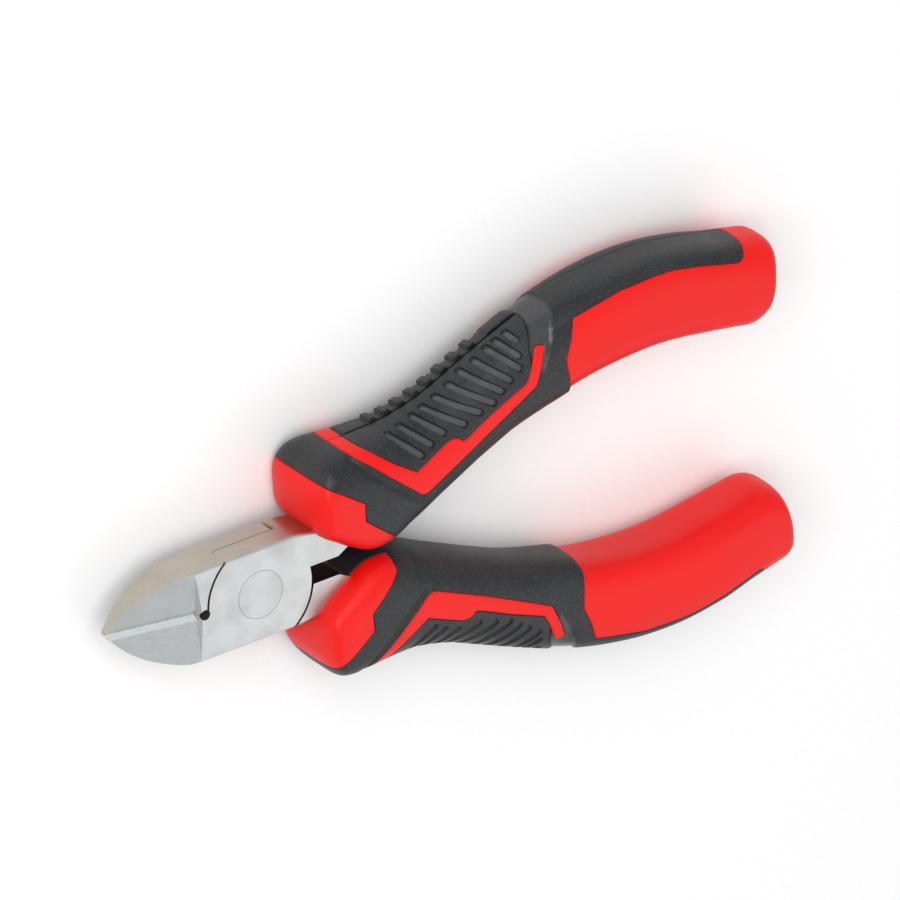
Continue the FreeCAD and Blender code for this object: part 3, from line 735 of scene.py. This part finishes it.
def ground_steel(name, face, facet, flank_reflection, lined_and_shaded):
    """Ground tool steel: fine grinding lines, faint stains and a painted warm reflection on the
    unground flanks, and on the levers their dark lines and the painted shade between the tangs."""
    shader = Shader(name)
    lines = shader.noise(1.0, 3.0, 0.65, shader.coordinates(scale=(160.0, 4200.0, 4200.0)))
    cross = shader.noise(1.0, 3.0, 0.6, shader.coordinates(scale=(3600.0, 300.0, 300.0)))
    stain = shader.noise(170.0, 4.0, 0.6)
    coordinates = shader.node("ShaderNodeTexCoord")
    normal = shader.node("ShaderNodeSeparateXYZ", {"Vector": coordinates.outputs["Normal"]})
    facing = shader.math("ABSOLUTE", normal.outputs["Z"], 0.0)
    colour = shader.mix(shader.spread(facing, 0.9, 0.995, 0.0, 1.0), facet, face)
    # Painted warm reflection on the upright flanks.
    colour = shader.mix(shader.spread(facing, 0.35, 0.75, 0.0, 1.0), flank_reflection, colour)
    colour = shader.mix(shader.spread(stain, 0.35, 0.7, 0.0, 0.28), colour, linear(150, 150, 148))
    colour = shader.mix(shader.spread(lines, 0.35, 0.65, 0.0, 0.16), colour, linear(226, 228, 228))
    if lined_and_shaded:
        place = shader.node("ShaderNodeSeparateXYZ", {"Vector": coordinates.outputs["Object"]})
        colour = shader.mix(lever_lines_and_gap_shade(shader, place, facing), colour, linear(52, 50, 48))
    rough = shader.math("ADD", shader.spread(stain, 0.3, 0.7, 0.33, 0.45),
                        shader.spread(lines, 0.3, 0.7, -0.05, 0.05))
    surface = shader.bump(lines, 0.00003, 0.22)
    surface = shader.bump(cross, 0.00002, 0.12, under=surface)
    shader.set(Base_Color=colour, Metallic=1.0, Roughness=rough, Normal=surface)
    return shader.material


def hard_core():
    """Hard dark core plastic under the soft grips."""
    shader = Shader("hard_core")
    cloud = shader.noise(300.0, 3.0)
    colour = shader.mix(cloud, linear(30, 30, 31), linear(52, 52, 53))
    surface = shader.bump(shader.noise(2500.0, 2.0), 0.00004, 0.4)
    shader.set(Base_Color=colour, Roughness=shader.spread(cloud, 0.3, 0.7, 0.45, 0.6),
               Normal=surface)
    return shader.material


def studio_floor():
    """Pale matte paper with a faint tooth."""
    shader = Shader("pale_paper")
    tooth = shader.noise(900.0, 3.0)
    colour = shader.mix(tooth, (0.90, 0.90, 0.90, 1.0), (0.94, 0.94, 0.94, 1.0))
    shader.set(Base_Color=colour, Roughness=0.9, Normal=shader.bump(tooth, 0.00002, 0.1))
    return shader.material


# ---------------------------------------------------------------- assembly

RED = red_plastic()
BLACK = soft_black("soft_black", linear(15, 17, 20), linear(30, 32, 35), 0.4, 0.54)
PAD_BLACK = soft_black("pad_black", linear(18, 20, 22), linear(33, 35, 37), 0.38, 0.5)
# Material and slot name of each visible moulding.
MOULDINGS = {
    "nose_guard": (RED, "red_plastic"), "tail_shell": (RED, "red_plastic"),
    "front_stripe": (RED, "red_plastic"), "back_stripe": (RED, "red_plastic"),
    "front_pad": (PAD_BLACK, "pad_black"), "back_pad": (PAD_BLACK, "pad_black"),
    "ridged_spine": (PAD_BLACK, "soft_black"), "tail_spine": (BLACK, "soft_black"),
    "soft_grip": (BLACK, "soft_black"),
}


def build_grips():
    """Both grips, moulding by moulding."""
    for side, turn in SIDES.items():
        grip = base_sheet(turn)
        for kind, (material, slot) in MOULDINGS.items():
            make_piece(side + "_" + kind, kind, moulding(grip, kind), side, material)


def dress_steel():
    """Materials of the levers, the rivet and the sleeves, which keep their CAD shapes."""
    steel = ground_steel("ground_steel", linear(196, 200, 200), linear(206, 212, 214),
                         linear(186, 177, 162), lined_and_shaded=True)
    rivet = ground_steel("rivet_steel", linear(192, 196, 196), linear(192, 196, 196),
                         linear(190, 188, 182), lined_and_shaded=False)
    core = hard_core()
    for node, material in (("upper_lever", steel), ("lower_lever", steel), ("pivot_rivet", rivet),
                           ("upper_core_sleeve", core), ("lower_core_sleeve", core)):
        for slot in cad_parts[node].material_slots:
            slot.material = material


build_grips()
dress_steel()


# ---------------------------------------------------------------- floor, light and camera

# Camera axes and the point it looks at, in the frame of the pliers.
CAMERA_RIGHT = Vector((0.82761, -0.06473, 0.55756))
CAMERA_UP = Vector((0.30941, 0.88139, -0.35695))
CAMERA_AIM = Vector((0.0, 0.0, HEAD_FRONT.z)) + 0.03006 * CAMERA_RIGHT + 0.02295 * CAMERA_UP
CAMERA_DISTANCE = 3.968
CAMERA_LENS = 1000.0
CAMERA_CLIP = 20.0
FLOOR_GAP = 0.0002
FLOOR_REACH = 1.5
SKY_STRENGTH = 0.6
# Direction from the pliers, distance, width and power of each light.
LIGHTS = {
    "key": ((-0.6, 0.5, 1.0), 0.9, 0.7, 5.6),
    "fill": ((0.7, -0.7, 0.9), 1.1, 0.9, 2.0),
}
LIT_POINT = Vector((0.03, 0.0, 0.0))


def add_floor():
    """Square sheet of paper just under the pliers."""
    level = CAD_BOX[0][2] - FLOOR_GAP
    reach = FLOOR_REACH
    mesh = bpy.data.meshes.new("studio_floor")
    corners = [(-reach, -reach, level), (reach, -reach, level), (reach, reach, level),
               (-reach, reach, level)]
    mesh.from_pydata(corners, [], [(0, 1, 2, 3)])
    mesh.materials.append(studio_floor())
    floor = bpy.data.objects.new("studio_floor", mesh)
    bpy.context.scene.collection.objects.link(floor)


def add_light(name, direction, distance, width, power):
    """Square area light in a direction from the pliers, aimed at their middle."""
    light = bpy.data.lights.new(name, "AREA")
    light.size = width
    light.energy = power
    lamp = bpy.data.objects.new(name, light)
    away = Vector(direction).normalized()
    lamp.location = LIT_POINT + away * distance
    lamp.rotation_euler = away.to_track_quat("Z", "Y").to_euler()
    bpy.context.scene.collection.objects.link(lamp)


def add_camera():
    camera = bpy.data.cameras.new("camera")
    camera.lens = CAMERA_LENS
    camera.clip_end = CAMERA_CLIP
    holder = bpy.data.objects.new("camera", camera)
    toward = CAMERA_RIGHT.cross(CAMERA_UP).normalized()
    axes = Matrix((CAMERA_RIGHT, CAMERA_UP, toward)).transposed().to_4x4()
    holder.matrix_world = Matrix.Translation(CAMERA_AIM + toward * CAMERA_DISTANCE) @ axes
    bpy.context.scene.collection.objects.link(holder)
    bpy.context.scene.camera = holder


def add_world():
    world = bpy.data.worlds.new("studio")
    world.use_nodes = True
    background = world.node_tree.nodes["Background"]
    background.inputs["Color"].default_value = (1.0, 1.0, 1.0, 1.0)
    background.inputs["Strength"].default_value = SKY_STRENGTH
    bpy.context.scene.world = world


add_floor()
for light_name, settings in LIGHTS.items():
    add_light(light_name, *settings)
add_camera()
add_world()
bpy.context.scene.view_settings.view_transform = "Standard"
